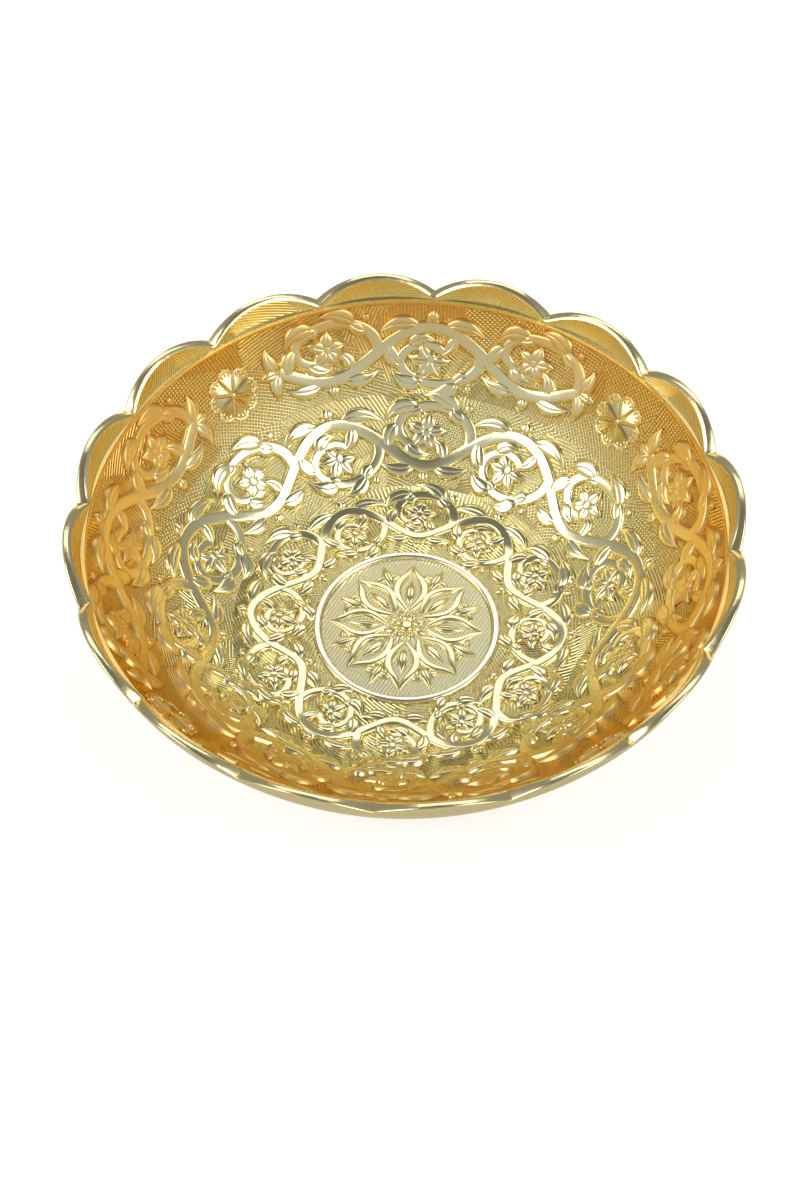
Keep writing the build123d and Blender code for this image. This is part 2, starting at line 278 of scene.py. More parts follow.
def makeHatching():
    tree, entry, result = newGroup(
        "hatching",
        [("Pitch", "Float", 0.6), ("Patch", "Float", 9.0),
         ("Crossed", "Float", 0.4), ("Turn", "Float", 3.14)],
        [("Height", "Float")],
    )
    flow = tree.nodes.new("ShaderNodeUVMap")
    flow.uv_map = "flow"
    split = tree.nodes.new("ShaderNodeSeparateXYZ")
    tree.links.new(flow.outputs[0], split.inputs[0])
    patches = tree.nodes.new("ShaderNodeTexVoronoi")
    patches.voronoi_dimensions = "2D"
    ragged = tree.nodes.new("ShaderNodeTexNoise")
    ragged.noise_dimensions = "2D"
    ragged.inputs["Scale"].default_value = hatchLook["raggedScale"]
    tree.links.new(flow.outputs[0], ragged.inputs["Vector"])
    push = tree.nodes.new("ShaderNodeVectorMath")
    push.operation = "MULTIPLY_ADD"
    push.inputs[1].default_value = (hatchLook["raggedPush"], hatchLook["raggedPush"], 0.0)
    tree.links.new(ragged.outputs["Color"], push.inputs[0])
    tree.links.new(flow.outputs[0], push.inputs[2])
    tree.links.new(push.outputs[0], patches.inputs["Vector"])
    tree.links.new(addMath(tree, "DIVIDE", 1.0, entry.outputs["Patch"]), patches.inputs["Scale"])
    chance = tree.nodes.new("ShaderNodeSeparateColor")
    tree.links.new(patches.outputs["Color"], chance.inputs[0])
    angle = addMath(tree, "MULTIPLY", chance.outputs[0], entry.outputs["Turn"])
    along, across = addMath(tree, "COSINE", angle), addMath(tree, "SINE", angle)
    wave = addMath(tree, "DIVIDE", 2 * math.pi, entry.outputs["Pitch"])

    def ruled(first, second, sign):
        beside = addMath(tree, "MULTIPLY", addMath(tree, "MULTIPLY", split.outputs["Y"], second), sign)
        place = addMath(tree, "MULTIPLY_ADD", split.outputs["X"], first, beside)
        ripple = addMath(tree, "SINE", addMath(tree, "MULTIPLY", place, wave))
        return addMath(tree, "MULTIPLY_ADD", ripple, 0.5, 0.5)

    single = ruled(along, across, 1.0)
    crossing = ruled(across, along, -1.0)
    crossed = addMath(tree, "LESS_THAN", chance.outputs[1], entry.outputs["Crossed"])
    between = addMath(tree, "SUBTRACT", 1.0, crossing)
    cut = addMath(tree, "SUBTRACT", 1.0, addMath(tree, "MULTIPLY", crossed, between))
    tree.links.new(addMath(tree, "MULTIPLY", single, cut), result.inputs["Height"])
    return tree


gildToneAndReflection = makeGildToneAndReflection()
hatching = makeHatching()


def addTone(tree, shader, finish):
    tone = tree.nodes.new("ShaderNodeGroup")
    tone.node_tree = gildToneAndReflection
    for label in ("Pale", "Warm", "Low", "High", "Lean", "Mottle"):
        tone.inputs[label].default_value = finish[label.lower()]
    tree.links.new(tone.outputs["Color"], shader.inputs["Base Color"])
    rough = addRange(tree, tone.outputs["Mottle"], 0.3, 0.7, finish["roughLow"], finish["roughHigh"])
    satin = addMath(tree, "MULTIPLY_ADD", tone.outputs["Rise"], finish["satin"], rough)
    tree.links.new(satin, shader.inputs["Roughness"])
    shader.inputs["Metallic"].default_value = 1.0
    shader.inputs["Specular Tint"].default_value = finish["grazing"]
    if "lowGrazing" in finish:
        # edges seen aslant turn from pale on the floor to orange up the wall, a painted reflection of the
        # gold walls
        aslant = addMix(tree, tone.outputs["Rise"], finish["lowGrazing"], finish["grazing"])
        tree.links.new(aslant, shader.inputs["Specular Tint"])
    return tone


def addBump(tree, shader, height, distance):
    bump = tree.nodes.new("ShaderNodeBump")
    bump.inputs["Strength"].default_value = 1.0
    bump.inputs["Distance"].default_value = distance * mm
    tree.links.new(height, bump.inputs["Height"])
    tree.links.new(bump.outputs["Normal"], shader.inputs["Normal"])


groundFinish = dict(
    pale=(0.87, 0.8, 0.43, 1), warm=(0.95, 0.61, 0.165, 1), low=0.011, high=0.03, lean=0.13, mottle=0.5,
    roughLow=0.2, roughHigh=0.3, pitch=0.74, patch=15.0, crossed=0.35, depth=0.17, groove=0.76,
    satin=0.05, grazing=(0.76, 0.44, 0.14, 1), lowGrazing=(0.84, 0.76, 0.42, 1),
)
# hollows of the lip: orange near the top, a painted shade under the lip's edge, yellow lower down
hollowFinishAndShade = dict(
    pale=(1.0, 0.9, 0.38, 1), warm=(1.0, 0.66, 0.18, 1), low=0.038, high=0.044, lean=0.0, mottle=0.4,
    roughLow=0.28, roughHigh=0.38, pitch=0.6, patch=14.0, crossed=0.0, depth=0.09, groove=0.86,
    satin=0.0, grazing=(1.0, 0.85, 0.6, 1),
)
plateFinish = dict(
    pale=(1.0, 0.95, 0.6, 1), warm=(1.0, 0.93, 0.56, 1), low=0.0, high=0.02, lean=0.0, mottle=0.4,
    roughLow=0.22, roughHigh=0.32, pitch=0.75, patch=400.0, crossed=0.0, depth=0.08, groove=0.8,
    satin=0.0, grazing=(1.0, 0.85, 0.6, 1),
)


def makeHatchedGilt(name, finish):
    material, tree, shader = newMaterial(name)
    tone = addTone(tree, shader, finish)
    lines = tree.nodes.new("ShaderNodeGroup")
    lines.node_tree = hatching
    lines.inputs["Pitch"].default_value = finish["pitch"]
    lines.inputs["Patch"].default_value = finish["patch"]
    lines.inputs["Crossed"].default_value = finish["crossed"]
    addBump(tree, shader, lines.outputs["Height"], finish["depth"])
    # painted shade: the colour is darkened in the grooves of the hatching
    shade = addRange(tree, lines.outputs["Height"], 0.0, 1.0, finish["groove"], 1.0)
    paintedGrooveShade = addMix(tree, 1.0, tone.outputs["Color"], shade, "MULTIPLY")
    tree.links.new(paintedGrooveShade, shader.inputs["Base Color"])
    return material


reliefFinish = dict(
    pale=(0.95, 0.88, 0.53, 1), warm=(0.95, 0.64, 0.2, 1), low=0.012, high=0.03, lean=0.2, mottle=0.3,
    roughLow=0.12, roughHigh=0.19, wave=160.0, depth=0.05, satin=0.25, grazing=(0.7, 0.4, 0.13, 1),
    lowGrazing=(0.86, 0.79, 0.46, 1),
)
# the ring's gold is painted paler than the rest, a painted highlight on its polished band
ringFinishAndHighlight = dict(
    pale=(0.97, 0.93, 0.70, 1), warm=(0.97, 0.92, 0.66, 1), low=0.0, high=0.02, lean=0.0, mottle=0.2,
    roughLow=0.1, roughHigh=0.16, wave=160.0, depth=0.04, satin=0.0, grazing=(1.0, 0.95, 0.8, 1),
)
beadFinish = dict(
    pale=(0.98, 0.58, 0.14, 1), warm=(0.98, 0.62, 0.17, 1), low=0.03, high=0.05, lean=0.0, mottle=0.3,
    roughLow=0.3, roughHigh=0.38, wave=160.0, depth=0.03, satin=0.0, grazing=(1.0, 0.8, 0.5, 1),
)
# for the ledge of the lip and the petals of the rosettes: a darker olive gold, painted shade and a painted
# dim reflection in these sunk places
oliveFinishAndShade = dict(
    pale=(0.8, 0.69, 0.34, 1), warm=(0.95, 0.64, 0.2, 1), low=0.024, high=0.044, lean=0.2, mottle=0.3,
    roughLow=0.16, roughHigh=0.24, wave=160.0, depth=0.04, satin=0.14, grazing=(0.7, 0.4, 0.13, 1),
    lowGrazing=(0.86, 0.7, 0.36, 1),
)
rimFinish = dict(
    pale=(0.97, 0.84, 0.44, 1), warm=(0.98, 0.86, 0.50, 1), low=0.03, high=0.05, lean=0.0, mottle=0.25,
    roughLow=0.14, roughHigh=0.22, wave=300.0, depth=0.07, satin=0.0, grazing=(1.0, 0.9, 0.7, 1),
)
# outside of the bowl, outer lip and foot: the gold is painted dark, a painted shade for the dim
# surroundings this side reflects
outsideFinishAndShade = dict(
    pale=(0.45, 0.385, 0.215, 1), warm=(0.5, 0.43, 0.24, 1), low=0.0, high=0.04, lean=0.0, mottle=0.4,
    roughLow=0.3, roughHigh=0.4, wave=240.0, depth=0.03, satin=0.0, grazing=(0.75, 0.70, 0.55, 1),
)


def makePolishedGilt(name, finish):
    material, tree, shader = newMaterial(name)
    addTone(tree, shader, finish)
    place = tree.nodes.new("ShaderNodeTexCoord").outputs["Object"]
    addBump(tree, shader, addNoise(tree, place, finish["wave"], 2.0), finish["depth"])
    return material


groundGilt = makeHatchedGilt("groundGilt", groundFinish)
hollowShadeGilt = makeHatchedGilt("hollowShadeGilt", hollowFinishAndShade)
plateGilt = makeHatchedGilt("plateGilt", plateFinish)
reliefGilt = makePolishedGilt("reliefGilt", reliefFinish)
beadGilt = makePolishedGilt("beadGilt", beadFinish)
ringHighlightGilt = makePolishedGilt("ringHighlightGilt", ringFinishAndHighlight)
oliveShadeGilt = makePolishedGilt("oliveShadeGilt", oliveFinishAndShade)
rimGilt = makePolishedGilt("rimGilt", rimFinish)
outsideShadeGilt = makePolishedGilt("outsideShadeGilt", outsideFinishAndShade)
print("stage materials done")


def dressFaces(piece, materials, chooser=None):
    # the chooser gives each face the place of its material in the list
    for material in materials:
        piece.data.materials.append(material)
    if chooser is None:
        return
    centres = np.array([face.center for face in piece.data.polygons]) / mm
    normals = np.array([face.normal for face in piece.data.polygons])
    chosen = np.asarray(chooser(centres, normals), np.int32)
    piece.data.polygons.foreach_set("material_index", chosen)


def layFlow(piece, flowOf):
    # UV map in millimetres, worked out from each corner's place; a face that crosses the seam stays whole
    points = readPoints(piece)
    layer = piece.data.uv_layers.new(name="flow")
    corners = np.empty(len(piece.data.loops), np.int32)
    piece.data.loops.foreach_get("vertex_index", corners)
    turn = np.arctan2(points[:, 1], points[:, 0])[corners]
    first = np.array([face.loop_start for face in piece.data.polygons])
    count = np.array([face.loop_total for face in piece.data.polygons])
    widest = np.maximum.reduceat(turn, first)
    crossing = np.repeat(widest - np.minimum.reduceat(turn, first) > math.pi, count)
    turn = np.where(crossing & (turn < 0), turn + 2 * math.pi, turn)
    perFace = lambda values: np.repeat(np.add.reduceat(values, first) / count, count)
    layer.data.foreach_set("uv", np.stack(flowOf(points[corners], turn, perFace), 1).ravel())


# Bands of scrolling vine round the wall: a wavy stem with a curled shoot in each bend
vineBands = dict(
    upperVine=dict(middle=seamRun - 11.3, high=18.7, bends=16, breaks=4, scale=1.0),
    middleVine=dict(middle=48.85, high=19.9, bends=14, breaks=0, scale=1.0),
    lowerVine=dict(middle=29.75, high=16.3, bends=12, breaks=0, scale=0.82),
)
vineShape = dict(
    stem=1.6, swing=0.29, stemKnots=8,
    shootStart=1.5, shootEnd=1.1, rise=0.1, turn=330, tip=0.3, knots=24,
    leafLift=0.1, tipLift=0.18, heart=1.4, berry=(0.40, 0.43, 0.95),
    # share of the way along the shoot, lean off it, length, half width, curl
    shootLeaves=((0.19, 40, 7.8, 2.1, 40), (0.36, 42, 7.6, 2.1, 46), (0.52, 48, 7.4, 2.0, 46),
                 (0.70, 44, 6.0, 1.8, 50), (0.13, -42, 5.4, 1.7, -40), (0.34, -40, 4.4, 1.5, -36)),
    # place as a share of the bend's width and height, angle, length, half width, curl
    stemLeaves=((0.12, -0.30, -26, 8.8, 1.9, 34), (-0.12, -0.30, 206, 8.8, 1.9, -34),
                (0.0, -0.34, -90, 3.2, 1.5, 0), (0.20, -0.22, 66, 6.0, 1.7, 56)),
    # at a stem's end beside a rosette: angle, length, half width, curl
    endLeaves=((0, 4.6, 1.6, 0), (52, 6.6, 1.8, 24), (-52, 6.6, 1.8, -24)),
)
# leaves at the tip of a shoot: angle, length, half width, curl
shootTips = dict(
    blossom=[(72 * i + 10, 4.6, 1.8, 0) for i in range(5)],
    palmette=[(40, 4.6, 1.5, -40), (78, 5.4, 1.65, -22), (120, 6.0, 1.8, 0),
              (162, 5.4, 1.65, 22), (200, 4.6, 1.5, 40)],
)


# Dish
def makeDish():
    floorR, bend = dishSize["floorRadius"], dishSize["cornerRadius"]
    recess = dishSize["recessRadius"]
    recessLevel = floorLevel - dishSize["recessDepth"]
    section = [(0, recessLevel), (recess, recessLevel), (recess, floorLevel)]
    runs = list(np.linspace(recess, floorR, dishSize["floorSteps"] + 1)[1:])
    runs += list(np.linspace(cornerStart, cornerEnd, dishSize["cornerSteps"] + 1)[1:])
    runs += list(np.linspace(cornerEnd, seamRun, dishSize["wallSteps"] + 1)[1:])
    inner = onDish(runs)
    section += list(zip(inner[0], inner[1]))
    outerRadius, outerR, outerZ, outerEnd = wallArc(dishSize["wall"])
    wallFoot = dishSize["cornerSlope"] - 90
    wallTop = math.degrees(outerEnd) - 90
    section += arcPoints((outerR, outerZ), outerRadius, wallTop, wallFoot, dishSize["wallSteps"])
    section += arcPoints((floorR, floorLevel + bend), bend + dishSize["wall"], wallFoot, -90,
                         dishSize["cornerSteps"])[1:]
    section += [(0, footLevel)]
    piece = spinSection("dish", section, dishSize["turns"])
    inside = lambda c, n: (n[:, 2] * (c[:, 2] - footLevel) > 0) & (n[:, 2] > 0)
    dressFaces(piece, [groundGilt, outsideShadeGilt], lambda c, n: np.where(inside(c, n), 0, 1))

    def flowOf(points, turn, perFace):
        reach = np.hypot(points[:, 0], points[:, 1])
        bends = np.arctan2(reach - cornerStart, floorLevel + bend - points[:, 2])
        walls = np.arctan2(reach - wallCentreR, wallCentreZ - points[:, 2])
        run = np.where(reach < cornerStart, reach, cornerStart + bend * np.clip(bends, 0, cornerTurn))
        run = np.where(walls > cornerTurn, cornerEnd + wallRadius * (walls - cornerTurn), run)
        where = perFace(run)
        tops = [band["middle"] + band["high"] / 2 + dishSize["bandSpace"] for band in vineBands.values()]
        upper, middle, lower = dishSize["flowReach"]
        return turn * np.select([where < tops[2], where < tops[1]], [lower, middle], upper), run

    layFlow(piece, flowOf)
    smooth(piece, 40)
    settle(piece, "satin_gold", "bowl_body")


makeDish()

# Flared lip of sixteen lobes, each hollowed inside above a narrow ledge
lipSize = dict(
    lobes=16, slope=72, scoop=38.0, ledgeDrop=0.5, ledgeSet=0.5, beadDrop=1.7,
    edgeRound=0.35, edgeChamfer=0.5, perLobe=28, hollowSteps=7,
)
lipRun = 1 / math.tan(math.radians(lipSize["slope"]))
tipLevel = lipHigh.z
notchLevel = seamLevel + lipSize["beadDrop"]
tipRadius = seamOuter + (tipLevel - seamLevel) * lipRun
ledgeLevel = notchLevel - lipSize["ledgeDrop"]
halfLobe = math.pi / lipSize["lobes"]
halfChord = tipRadius * math.sin(halfLobe)
lobeRise = tipLevel - notchLevel
lobeArc = (halfChord ** 2 + lobeRise ** 2) / (2 * lobeRise)
scoopCentre = seamOuter + (ledgeLevel - seamLevel) * lipRun - dishSize["lipWidth"] - lipSize["scoop"]


def lipOuter(level):
    return seamOuter + (level - seamLevel) * lipRun


def lipInner(turn, level):
    radius = lipSize["scoop"] + (level - ledgeLevel) * lipRun
    side = scoopCentre * math.sin(turn)
    return scoopCentre * math.cos(turn) + math.sqrt(radius ** 2 - side ** 2)


def lipTop(turn, reach):
    # height of the edge at an angle from the middle of a lobe
    side = halfChord - reach * math.sin(halfLobe - abs(turn))
    return tipLevel - lobeArc + math.sqrt(lobeArc ** 2 - max(side, 0) ** 2)


def lipSection(turn):
    # the offsets of some hundredths soften the corners
    outTop = lipTop(turn, lipOuter(tipLevel))
    inTop = lipTop(turn, lipInner(turn, tipLevel))
    edge = lipSize["edgeRound"]
    chamfer = min(lipSize["edgeChamfer"], 0.4 * (inTop - ledgeLevel))
    nose = min(seamInner - lipSize["ledgeSet"], lipInner(turn, ledgeLevel) - 0.03)
    section = [(seamOuter, seamLevel), (lipOuter(seamLevel + 0.15), seamLevel + 0.15)]
    low = outTop - edge
    section += [(lipOuter(level), level) for level in np.linspace(seamLevel + 0.15, low, 4)[1:]]
    section += arcPoints((lipOuter(low) - edge, low), edge, 20, 90, 4)
    inEdge = lipInner(turn, inTop)
    section += [(inEdge + chamfer + 0.08, inTop), (inEdge + chamfer, inTop - 0.03)]
    section += [(lipInner(turn, inTop - chamfer) + 0.04, inTop - chamfer + 0.05)]
    levels = np.linspace(inTop - chamfer, ledgeLevel + 0.08, lipSize["hollowSteps"])
    section += [(lipInner(turn, level), level) for level in levels]
    foot = lipInner(turn, ledgeLevel)
    section += [(foot - 0.02, ledgeLevel + 0.01), (max(foot - 0.1, nose + 0.02), ledgeLevel)]
    section += [(min(nose + 0.1, foot - 0.02), ledgeLevel)]
    section += [(nose + 0.02, ledgeLevel - 0.04), (nose, ledgeLevel - 0.12)]
    section += [(nose, seamLevel + 0.3), (seamInner + 0.5, seamLevel + 0.02), (seamOuter, seamLevel)]
    return section


def makeLip():
    sample = lipSection(0.0)
    columns = lipSize["lobes"] * lipSize["perLobe"]
    deselectAll()
    bpy.ops.mesh.primitive_grid_add(x_subdivisions=columns, y_subdivisions=len(sample) - 1, size=2)
    piece = bpy.context.object
    piece.name = piece.data.name = "lip"
    grid = readPoints(piece) * mm
    column = np.rint((grid[:, 0] + 1) / 2 * columns).astype(int)
    row = np.rint((grid[:, 1] + 1) / 2 * (len(sample) - 1)).astype(int)
    sections = {}
    for step in range(lipSize["perLobe"] + 1):
        sections[step] = lipSection(halfLobe * (2 * step / lipSize["perLobe"] - 1))
    reach = np.array([sections[c % lipSize["perLobe"]][r][0] for c, r in zip(column, row)])
    level = np.array([sections[c % lipSize["perLobe"]][r][1] for c, r in zip(column, row)])
    turn = 2 * math.pi * column / columns
    writePoints(piece, np.stack((reach * np.cos(turn), reach * np.sin(turn), level), 1))
    mergeDoubles(piece)

    def chooser(centres, normals):
        around = np.arctan2(centres[:, 1], centres[:, 0])
        reach = np.hypot(centres[:, 0], centres[:, 1])
        inward = -(normals[:, 0] * np.cos(around) + normals[:, 1] * np.sin(around))
        hollow = (inward > 0.6) & (centres[:, 2] > ledgeLevel + 0.06)
        outer = (inward < -0.6) & (reach > seamOuter - 0.2)
        # the ledge takes the darker olive gold, a painted shade
        ledge = centres[:, 2] < ledgeLevel + 0.06
        return np.select([hollow, outer, ledge], [1, 2, 3], 0)

    dressFaces(piece, [rimGilt, hollowShadeGilt, outsideShadeGilt, oliveShadeGilt], chooser)
    layFlow(piece, lambda points, turn, perFace: (turn * seamInner, points[:, 2]))
    smooth(piece, 35)
    settle(piece, "polished_gold", "scalloped_rim")


makeLip()

# Bead wire on the seam, thicker where the ridge of each notch runs into it
beadSize = dict(thickness=1.4, proud=0.7, turns=384, sides=18, swell=0.22, swellWidth=2.2)


def makeBead():
    radius = beadSize["thickness"] / 2
    centre = seamInner + radius - beadSize["proud"]
    deselectAll()
    bpy.ops.mesh.primitive_torus_add(
        major_segments=beadSize["turns"], minor_segments=beadSize["sides"],
        major_radius=centre * mm, minor_radius=radius * mm, location=(0, 0, 0),
    )
    piece = bpy.context.object
    piece.name = piece.data.name = "beadWire"
    points = readPoints(piece)
    turn = np.arctan2(points[:, 1], points[:, 0])
    off = (turn / (2 * halfLobe) - np.rint(turn / (2 * halfLobe))) * 2 * halfLobe * centre
    grow = 1 + beadSize["swell"] * np.exp(-(off / beadSize["swellWidth"]) ** 2)
    reach = centre + (np.hypot(points[:, 0], points[:, 1]) - centre) * grow
    level = seamLevel + points[:, 2] * grow
    writePoints(piece, np.stack((reach * np.cos(turn), reach * np.sin(turn), level), 1))
    dressFaces(piece, [beadGilt])
    smooth(piece, 60)
    settle(piece, "polished_gold", "rim_bead")


makeBead()

# Ring foot
footSize = dict(diameter=53.0, width=2.6, flare=1.2, toe=1.0, toeRound=0.4, turns=192)


def makeFoot():
    outer = footSize["diameter"] / 2
    toeOuter = outer + footSize["flare"]
    inner = outer - footSize["width"]
    edge = footSize["toeRound"]
    run, rise = toeOuter - outer, footLevel - footSize["toe"]
    hollow = (run ** 2 + rise ** 2) / (2 * run)
    top = footHigh.z
    section = [(outer, top), (outer, footLevel)]
    sweep = math.degrees(math.asin(rise / hollow))
    section += arcPoints((outer + hollow, footLevel), hollow, 180, 180 + sweep, 8)[1:]
    section += arcPoints((toeOuter - edge, edge), edge, 0, -90, 5)
    section += arcPoints((inner + edge, edge), edge, -90, -180, 5)
    section += [(inner, footLevel), (inner, top), (outer, top)]
    piece = spinSection("footRing", section, footSize["turns"])
    dressFaces(piece, [outsideShadeGilt])
    smooth(piece, 35)
    settle(piece, "polished_gold", "foot_ring")


makeFoot()

# Medallion: a plate in the floor and the ring that holds it
medallionSize = dict(
    diameter=41.0, ringWidth=1.8, ringProud=0.8, ringRound=0.6, turns=192,
    plateGap=0.05, plateBevel=0.1, flowShift=200,
)


def makeMedallion():
    outer = medallionSize["diameter"] / 2
    inner = outer - medallionSize["ringWidth"]
    low = floorLevel - dishSize["recessDepth"]
    top = floorLevel + medallionSize["ringProud"]
    edge = medallionSize["ringRound"]
    section = [(outer, low), (outer, floorLevel)]
    section += arcPoints((outer - edge, top - edge), edge, 0, 90, 6)
    section += arcPoints((inner + edge, top - edge), edge, 90, 180, 6)
    section += [(inner, low), (outer, low)]
    ring = spinSection("medallionRing", section, medallionSize["turns"])
    dressFaces(ring, [ringHighlightGilt])
    smooth(ring, 40)
    settle(ring, "polished_gold", "medallion_ring")
    plateEdge = inner - medallionSize["plateGap"]
    bevel = medallionSize["plateBevel"]
    section = [(0, low), (plateEdge, low), (plateEdge, floorLevel - bevel)]
    section += [(plateEdge - bevel, floorLevel), (0, floorLevel)]
    plate = spinSection("medallionPlate", section, medallionSize["turns"])
    dressFaces(plate, [plateGilt])
    shift = medallionSize["flowShift"]
    layFlow(plate, lambda points, turn, perFace: (points[:, 0] + shift, points[:, 1] + shift))
    smooth(plate, 40)
    settle(plate, "satin_gold", "medallion_disc")


makeMedallion()

# Chased strokes: a line with a width at each point, swept by a raised section
strokeSize = dict(height=0.9, gain=1.3, steps=3)


def makeTool(name, outline):
    # section of a stroke, one unit of half width each side
    deselectAll()
    bpy.ops.curve.primitive_nurbs_path_add()
    tool = bpy.context.object
    tool.name = name
    line = tool.data.splines[0]
    line.type = "POLY"
    line.points.add(len(outline) - len(line.points))
    for knot, (x, y) in zip(line.points, outline):
        knot.co = (x * mm, y * mm, 0, 1)
    line.use_cyclic_u = True
    tool.data.dimensions = "2D"
    tool.data.fill_mode = "NONE"
    return tool


def mirrored(half):
    return half + [(-x, y) for x, y in reversed(half) if x != 0]


stemTool = makeTool("stemTool", mirrored(
    [(-1.14, -0.12), (-1.0, 0.12), (-0.88, 0.36), (-0.74, 0.53), (-0.56, 0.61), (-0.2, 0.64)]))
leafTool = makeTool("leafTool", mirrored(
    [(-1.14, -0.12), (-0.98, 0.12), (-0.86, 0.38), (-0.68, 0.57), (-0.24, 0.64), (-0.08, 0.61),
     (0, 0.5)]))
ridgeTool = makeTool("ridgeTool", mirrored([(-1.1, -0.2), (-0.5, 0.5), (0, 1.0)]))


def drawStroke(points, widths, tool=None):
    bpy.ops.curve.primitive_nurbs_path_add()
    stroke = bpy.context.object
    line = stroke.data.splines[0]
    line.points.add(len(points) - len(line.points))
    for knot, (u, v), width in zip(line.points, points, widths):
        knot.co = (u * mm, v * mm, 0, 1)
        knot.radius = width
    line.order_u = 3
    line.use_endpoint_u = True
    line.resolution_u = strokeSize["steps"]
    stroke.data.twist_mode = "Z_UP"
    stroke.data.bevel_mode = "OBJECT"
    stroke.data.bevel_object = tool or stemTool
    stroke.data.use_fill_caps = True
    return stroke


def drawLeaf(base, angle, length, width, curl=0.0):
    # pointed leaf that leaves its base at an angle and curls to one side
    points, widths = [], []
    for t, share in ((0, 0.25), (0.14, 0.7), (0.36, 1.0), (0.6, 0.88), (0.82, 0.45), (1, 0.04)):
        turn = math.radians(angle + curl * t)
        points.append((base[0] + length * t * math.cos(turn), base[1] + length * t * math.sin(turn)))
        widths.append(width * share)
    return drawStroke(points, widths, leafTool)


def drawDot(centre, size):
    points = [(centre[0] + size * t, centre[1]) for t in (-1, -0.8, 0, 0.8, 1)]
    return drawStroke(points, [0.05 * size, 0.7 * size, 1.05 * size, 0.7 * size, 0.05 * size])


def pressFlat(piece):
    # wide strokes rise no higher than narrow ones
    points = readPoints(piece)
    high = strokeSize["height"]
    raised = high * np.tanh(strokeSize["gain"] * np.maximum(points[:, 2], 0) / high)
    points[:, 2] = np.where(points[:, 2] > 0, raised, points[:, 2])
    writePoints(piece, points)


def finishMotif(name, strokes, lift=0.0):
    pick(*strokes)
    bpy.ops.object.convert(target="MESH")
    piece = joinPieces(name, list(bpy.context.selected_objects))
    pressFlat(piece)
    points = readPoints(piece)
    points[:, 2] += lift
    writePoints(piece, points)
    return piece


def copyOf(piece):
    pick(piece)
    bpy.ops.object.duplicate()
    return bpy.context.object


def wrapOnDish(piece, turn, middle, upsideDown=False):
    u, v, h = readPoints(piece).T
    if upsideDown:
        v = -v
        piece.data.flip_normals()
    reach, level, slope = onDish(middle + v)
    around = turn - u / float(onDish(middle)[0])
    reach, level = reach - h * np.sin(slope), level + h * np.cos(slope)
    writePoints(piece, np.stack((reach * np.cos(around), reach * np.sin(around), level), 1))


def finishRelief(piece):
    dressFaces(piece, [reliefGilt])
    smooth(piece, 50)
    settle(piece, "satin_gold")


def makeShoot(name, pitch, band, tipLeaves):
    # curled shoot with its leaves and tip, drawn flat for a bend that opens upwards
    scale, high = band["scale"], band["high"]
    rise = vineShape["rise"] * high
    wide, tall = pitch / 2, high / 2 - rise
    start = -math.asin(rise / tall)

    def onShoot(t):
        turn = start + math.radians(vineShape["turn"]) * t
        fade = 1 - (1 - vineShape["tip"]) * t
        return wide * fade * math.cos(turn), rise + tall * fade * math.sin(turn)

    shares = np.linspace(0, 1, vineShape["knots"] + 1)
    widths = scale * np.interp(shares, (0, 1), (vineShape["shootStart"], vineShape["shootEnd"]))
    lines = [drawStroke([onShoot(t) for t in shares], widths)]
    leaves = []
    for t, lean, length, width, curl in vineShape["shootLeaves"]:
        (u0, v0), (u1, v1) = onShoot(t), onShoot(t + 0.01)
        way = math.degrees(math.atan2(v1 - v0, u1 - u0))
        leaves.append(drawLeaf((u0, v0), way - lean, length * scale, width * scale, curl))
    for u, v, angle, length, width, curl in vineShape["stemLeaves"]:
        leaves.append(drawLeaf((u * pitch, v * high), angle, length * scale, width * scale, curl))
    u, v, size = vineShape["berry"]
    leaves.append(drawDot((u * pitch, v * high), size * scale))
    tips = [drawLeaf((0, rise), angle, length * scale, width * scale, curl)
            for angle, length, width, curl in tipLeaves]
    tips.append(drawDot((0, rise), vineShape["heart"] * scale))
    return joinPieces(name, [finishMotif(name, lines), finishMotif(name, leaves, vineShape["leafLift"]),
                             finishMotif(name, tips, vineShape["tipLift"])])


def makeVine(name, band):
    high, middle, scale = band["high"], band["middle"], band["scale"]
    pitch = 2 * math.pi * float(onDish(middle)[0]) / band["bends"]
    swing = vineShape["swing"] * high
    shoots = [makeShoot(name + label.title(), pitch, band, leaves) for label, leaves in shootTips.items()]
    turnStep = 2 * math.pi / band["bends"]
    spans = [(0, band["bends"] - 1)]
    if band["breaks"]:
        perBreak = band["bends"] // band["breaks"]
        reach = (perBreak - 2) / 2
        spans = [(i * perBreak - reach, i * perBreak + reach) for i in range(band["breaks"])]
    parts = []
    for firstBend, lastBend in spans:
        # stem from half a bend before the first to half a bend after the last
        knots = np.arange(firstBend - 0.5, lastBend + 0.5 + 1e-6, 1 / vineShape["stemKnots"])
        points = [(k * pitch, -swing * math.cos(math.pi * (k - firstBend))) for k in knots]
        widths = [vineShape["stem"] * scale] * len(points)
        drawn = [finishMotif(name + "Stem", [drawStroke(points, widths)])]
        if band["breaks"]:
            ends = [drawLeaf((k * pitch, 0), facing + angle, length, width, curl)
                    for k, facing in ((knots[0], 180), (knots[-1], 0))
                    for angle, length, width, curl in vineShape["endLeaves"]]
            drawn.append(finishMotif(name + "Ends", ends, vineShape["leafLift"]))
        for piece in drawn:
            wrapOnDish(piece, math.pi / 2, middle)
        parts += drawn
        for k in range(int(round(lastBend - firstBend)) + 1):
            copy = copyOf(shoots[k % 2])
            wrapOnDish(copy, math.pi / 2 - (firstBend + k) * turnStep, middle, k % 2 == 1)
            parts.append(copy)
    discard(*shoots)
    finishRelief(joinPieces(name, parts))


for bandName, band in vineBands.items():
    makeVine(bandName, band)
print("stage vines done")

